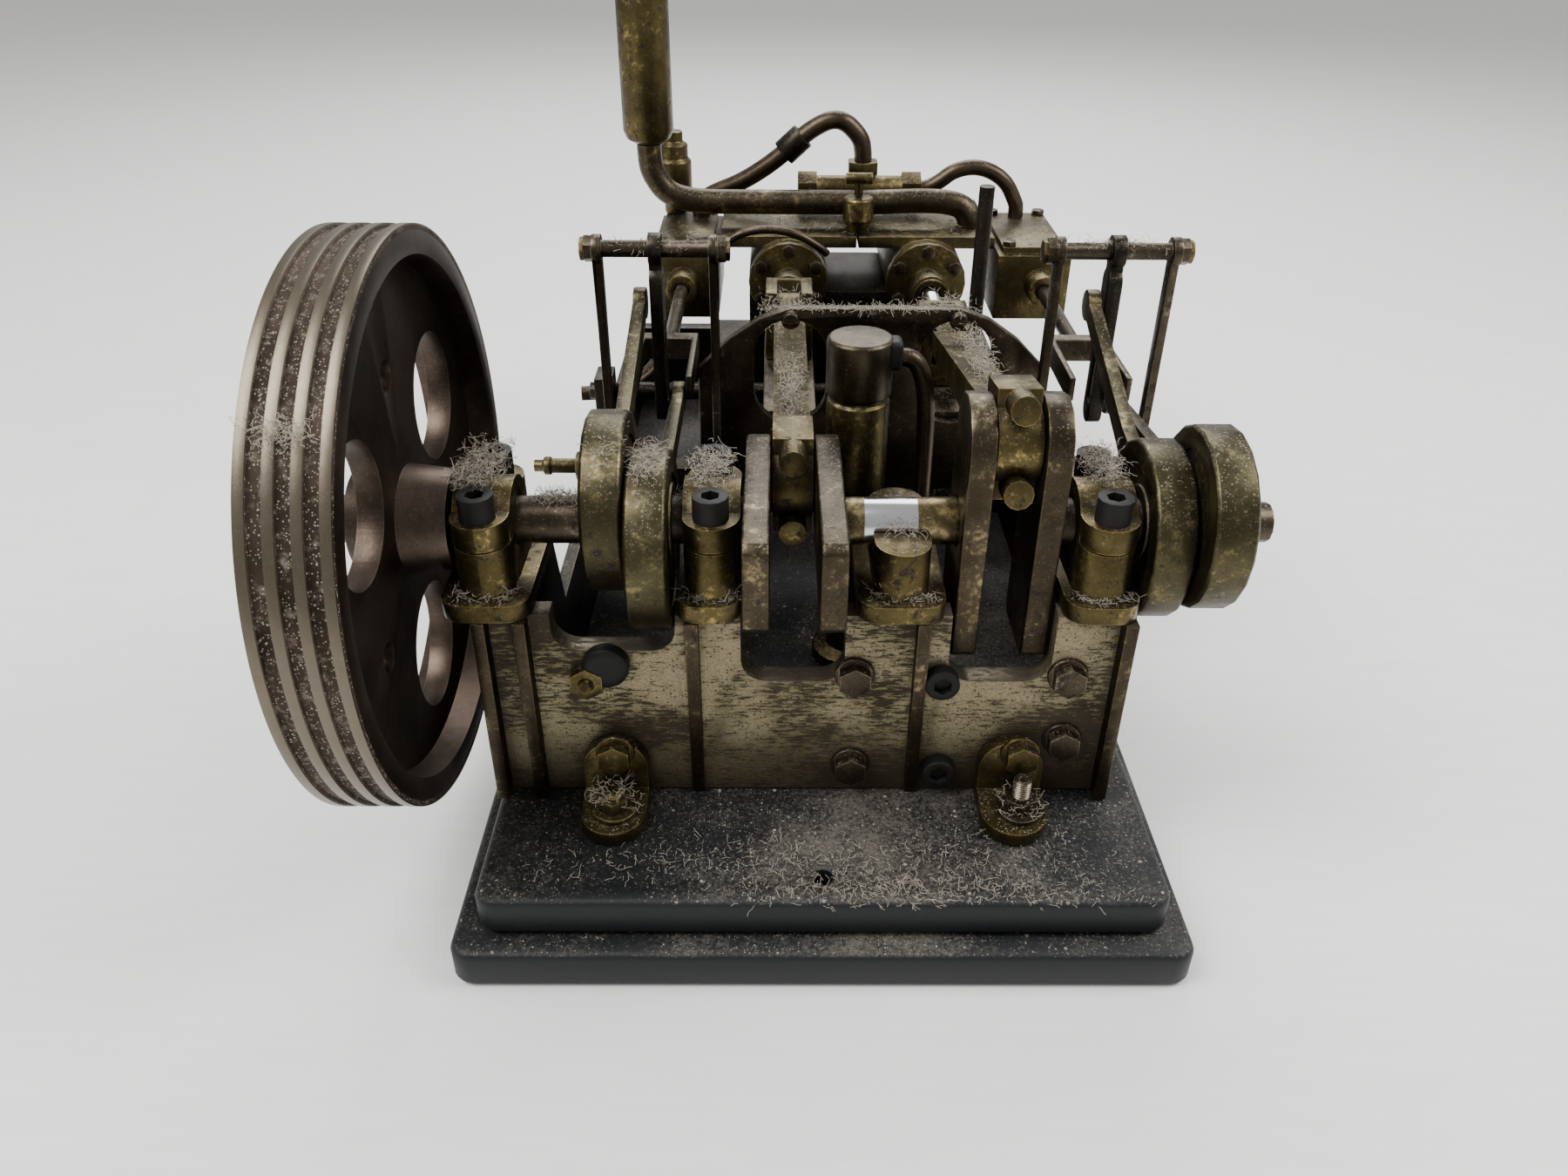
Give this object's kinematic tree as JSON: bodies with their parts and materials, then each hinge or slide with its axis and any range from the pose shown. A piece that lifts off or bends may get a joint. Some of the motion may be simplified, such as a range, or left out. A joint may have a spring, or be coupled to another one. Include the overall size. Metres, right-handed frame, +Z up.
{
  "type": "model steam engine",
  "caption": "Horizontal twin-cylinder model steam engine with a grooved flywheel, built-up crankshaft, eccentric valve gear, pipework and a stepped black plinth.",
  "frame": {"origin": "middle of the plinth's underside", "axes": "+X along the crankshaft away from the flywheel, +Y from the crankshaft to the cylinders, +Z up"},
  "size_m": [0.183, 0.27, 0.17],
  "materials": {
    "black_paint": "satin black, dusty",
    "pitted_plate": "dull silver over dark pits",
    "old_brass": "tarnished brown brass",
    "green_brass": "green-grey tarnish",
    "brown_steel": "brown tarnished steel",
    "bright_steel": "polished",
    "dark_steel": "oily and dark",
    "copper_pipe": "tarnished copper"
  },
  "bodies": {
    "engine_frame": {"plinth_lower": "black_paint", "plinth_upper": "black_paint", "front_plate": "pitted_plate", "bed_frame": "dark_steel", "motion_plate": "old_brass", "cylinder_saddle": "dark_steel", "foot_bracket_left": "old_brass", "foot_bracket_right": "old_brass", "cylinder_left": "old_brass", "cylinder_right": "old_brass", "front_cover_left": "old_brass", "front_cover_right": "old_brass", "slide_bar_left": "brown_steel", "slide_bar_right": "brown_steel", "valve_chest_left": "old_brass", "valve_chest_right": "old_brass", "oil_pump": "old_brass", "oil_pipe": "copper_pipe", "exhaust_pipe": "brown_steel", "silencer": "old_brass", "stop_valve": "old_brass", "steam_pipe": "copper_pipe", "steam_branch": "copper_pipe", "displacement_lubricator": "old_brass", "oil_cup": "old_brass", "bearing_pedestal_1": "old_brass", "bearing_pedestal_2": "old_brass", "bearing_pedestal_3": "old_brass", "bearing_pedestal_4": "old_brass", "bearing_cap_1": "old_brass", "bearing_cap_2": "old_brass", "bearing_cap_4": "old_brass"},
    "crankshaft": {"shaft_left": "brown_steel", "shaft_middle": "bright_steel", "shaft_right": "brown_steel", "flywheel": "brown_steel", "crank_web_left_outer": "brown_steel", "crank_web_left_inner": "brown_steel", "crank_web_right_outer": "brown_steel", "crank_web_right_inner": "brown_steel", "eccentric_sheave_left": "green_brass", "eccentric_sheave_right": "green_brass"},
    "strap_left_outer": {"eccentric_strap_left_outer": "green_brass"},
    "strap_left_inner": {"eccentric_strap_left_inner": "green_brass"},
    "strap_right_inner": {"eccentric_strap_right_inner": "green_brass"},
    "strap_right_outer": {"eccentric_strap_right_outer": "green_brass"},
    "crosshead_body_left": {"crosshead_left": "old_brass", "piston_rod_left": "bright_steel"},
    "crosshead_body_right": {"crosshead_right": "old_brass", "piston_rod_right": "bright_steel"},
    "rod_left": {"connecting_rod_left": "old_brass"},
    "rod_right": {"connecting_rod_right": "old_brass"},
    "hanger_left": {"link_hanger_left": "brown_steel"},
    "hanger_right": {"link_hanger_right": "brown_steel"},
    "link_left": {"expansion_link_left": "dark_steel"},
    "link_right": {"expansion_link_right": "dark_steel"},
    "spindle_left": {"valve_spindle_left": "brown_steel"},
    "spindle_right": {"valve_spindle_right": "brown_steel"},
    "reversing": {"reversing_shaft": "dark_steel"},
    "cup_handle": {"oil_cup_handle": "old_brass"}
  },
  "joints": [
    {"name": "crankshaft_spin", "type": "hinge", "parent": "engine_frame", "child": "crankshaft", "pos_m": [0, -0.082, 0.078], "axis": [1, 0, 0], "continuous": true},
    {"name": "strap_left_outer_turn", "type": "hinge", "parent": "crankshaft", "child": "strap_left_outer", "pos_m": [-0.0422, -0.07917, 0.08083], "axis": [1, 0, 0], "continuous": true},
    {"name": "strap_left_inner_turn", "type": "hinge", "parent": "crankshaft", "child": "strap_left_inner", "pos_m": [-0.0338, -0.08483, 0.07517], "axis": [1, 0, 0], "continuous": true},
    {"name": "strap_right_inner_turn", "type": "hinge", "parent": "crankshaft", "child": "strap_right_inner", "pos_m": [0.0658, -0.07917, 0.07517], "axis": [1, 0, 0], "continuous": true},
    {"name": "strap_right_outer_turn", "type": "hinge", "parent": "crankshaft", "child": "strap_right_outer", "pos_m": [0.0742, -0.08483, 0.08083], "axis": [1, 0, 0], "continuous": true},
    {"name": "crosshead_left_slide", "type": "slide", "parent": "engine_frame", "child": "crosshead_body_left", "axis": [0, 1, 0], "range_m": [-0.035, 0]},
    {"name": "rod_left_swing", "type": "hinge", "parent": "crosshead_body_left", "child": "rod_left", "pos_m": [-0.0061, 0.0405, 0.078], "axis": [1, 0, 0], "range_deg": [-9.59, 9.59]},
    {"name": "hanger_left_swing", "type": "hinge", "parent": "engine_frame", "child": "hanger_left", "pos_m": [-0.038, -0.012, 0.053], "axis": [1, 0, 0], "range_deg": [-4, 4]},
    {"name": "link_left_swing", "type": "hinge", "parent": "hanger_left", "child": "link_left", "pos_m": [-0.038, -0.012, 0.111], "axis": [1, 0, 0], "range_deg": [-6, 6]},
    {"name": "valve_left_slide", "type": "slide", "parent": "engine_frame", "child": "spindle_left", "axis": [0, 1, 0], "range_m": [-0.004, 0.004]},
    {"name": "crosshead_right_slide", "type": "slide", "parent": "engine_frame", "child": "crosshead_body_right", "axis": [0, 1, 0], "range_m": [-0.01603, 0.01897]},
    {"name": "rod_right_swing", "type": "hinge", "parent": "crosshead_body_right", "child": "rod_right", "pos_m": [0.0357, 0.02153, 0.078], "axis": [1, 0, 0], "range_deg": [0, 19.19]},
    {"name": "hanger_right_swing", "type": "hinge", "parent": "engine_frame", "child": "hanger_right", "pos_m": [0.07, -0.012, 0.053], "axis": [1, 0, 0], "range_deg": [-4, 4]},
    {"name": "link_right_swing", "type": "hinge", "parent": "hanger_right", "child": "link_right", "pos_m": [0.07, -0.012, 0.111], "axis": [1, 0, 0], "range_deg": [-6, 6]},
    {"name": "valve_right_slide", "type": "slide", "parent": "engine_frame", "child": "spindle_right", "axis": [0, 1, 0], "range_m": [-0.004, 0.004]},
    {"name": "reversing_lever_swing", "type": "hinge", "parent": "engine_frame", "child": "reversing", "pos_m": [0.0465, 0.036, 0.055], "axis": [1, 0, 0], "range_deg": [-18, 18]},
    {"name": "oil_cup_handle_turn", "type": "hinge", "parent": "engine_frame", "child": "cup_handle", "pos_m": [0.0148, 0.074, 0.1014], "axis": [0, 0, 1], "range_deg": [0, 90]}
  ],
  "couplings": [
    {"joint": "strap_left_outer_turn", "follows": "crankshaft_spin", "ratio": -1},
    {"joint": "strap_left_inner_turn", "follows": "crankshaft_spin", "ratio": -1},
    {"joint": "strap_right_inner_turn", "follows": "crankshaft_spin", "ratio": -1},
    {"joint": "strap_right_outer_turn", "follows": "crankshaft_spin", "ratio": -1}
  ]
}
